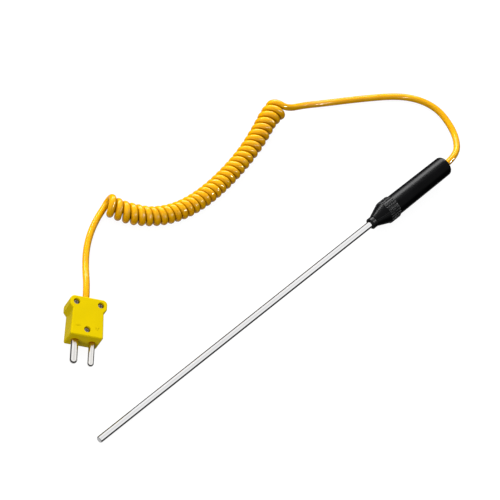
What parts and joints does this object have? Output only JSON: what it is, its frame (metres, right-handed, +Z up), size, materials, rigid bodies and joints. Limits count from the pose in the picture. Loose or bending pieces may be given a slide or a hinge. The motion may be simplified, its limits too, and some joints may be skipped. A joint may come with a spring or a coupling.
{
  "type": "thermocouple",
  "caption": "Hand-held immersion thermocouple: steel sensor rod in a black handle with a knurled nose nut, a curly cord and a round-pin plug.",
  "frame": {"origin": "on the surface that the probe rests on, under the middle of the probe (rod and handle, without the cord and plug)", "axes": "+X along the probe from the rod's tip towards the handle's butt, +Z up, +Y towards the side where the coil lies"},
  "size_m": [0.3558, 0.1269, 0.016],
  "materials": {
    "sheath_steel": "polished",
    "alloy_wire": "drawn",
    "mineral_powder": "packed powder",
    "sealing_resin": "cast",
    "inner_plastic": "moulded",
    "brass": "turned",
    "black_plastic": "satin moulded",
    "black_nut_plastic": "satin moulded",
    "tinned_metal": "tinned",
    "yellow_core": "extruded",
    "red_core": "extruded",
    "cord_jacket": "glossy extruded",
    "yellow_plastic": "satin moulded",
    "pin_metal": "nickel plated",
    "screw_steel": "zinc plated"
  },
  "bodies": {
    "probe": {"sheath_tube": "sheath_steel", "sheath_end_cap": "sheath_steel", "hot_junction": "alloy_wire", "positive_wire": "alloy_wire", "negative_wire": "alloy_wire", "mineral_insulation": "mineral_powder", "end_seal": "sealing_resin", "collet": "inner_plastic", "sheath_collar": "brass", "handle_tube": "black_plastic", "splice_positive": "tinned_metal", "splice_negative": "tinned_metal", "handle_core_positive": "yellow_core", "handle_core_negative": "red_core", "jacket_in_handle": "cord_jacket", "cord_ferrule": "brass", "plug_base": "yellow_plastic", "plug_cover": "yellow_plastic", "pin_positive": "pin_metal", "pin_negative": "pin_metal", "terminal_screws": "screw_steel", "terminal_washers": "screw_steel", "cover_screws": "screw_steel", "screw_inserts": "brass", "cord_clamp": "inner_plastic", "jacket_in_plug": "cord_jacket", "plug_core_positive": "yellow_core", "plug_core_negative": "red_core", "cord_lead": "cord_jacket", "curly_cord": "cord_jacket", "cord_tail": "cord_jacket"},
    "slip_ring": {"slip_ring": "brass"},
    "nose_nut": {"nose_nut": "black_nut_plastic"}
  },
  "joints": [
    {"name": "nose_travel", "type": "slide", "parent": "probe", "child": "slip_ring", "axis": [-0.9998, 0, -0.021], "range_m": [0, 0.006]},
    {"name": "nose_turn", "type": "hinge", "parent": "slip_ring", "child": "nose_nut", "pos_m": [0.09873, 0, 0.00772], "axis": [-0.9998, 0, -0.021], "range_deg": [0, 1440]}
  ],
  "couplings": [
    {"joint": "nose_turn", "follows": "nose_travel", "rad_per_m": 4188.8}
  ]
}
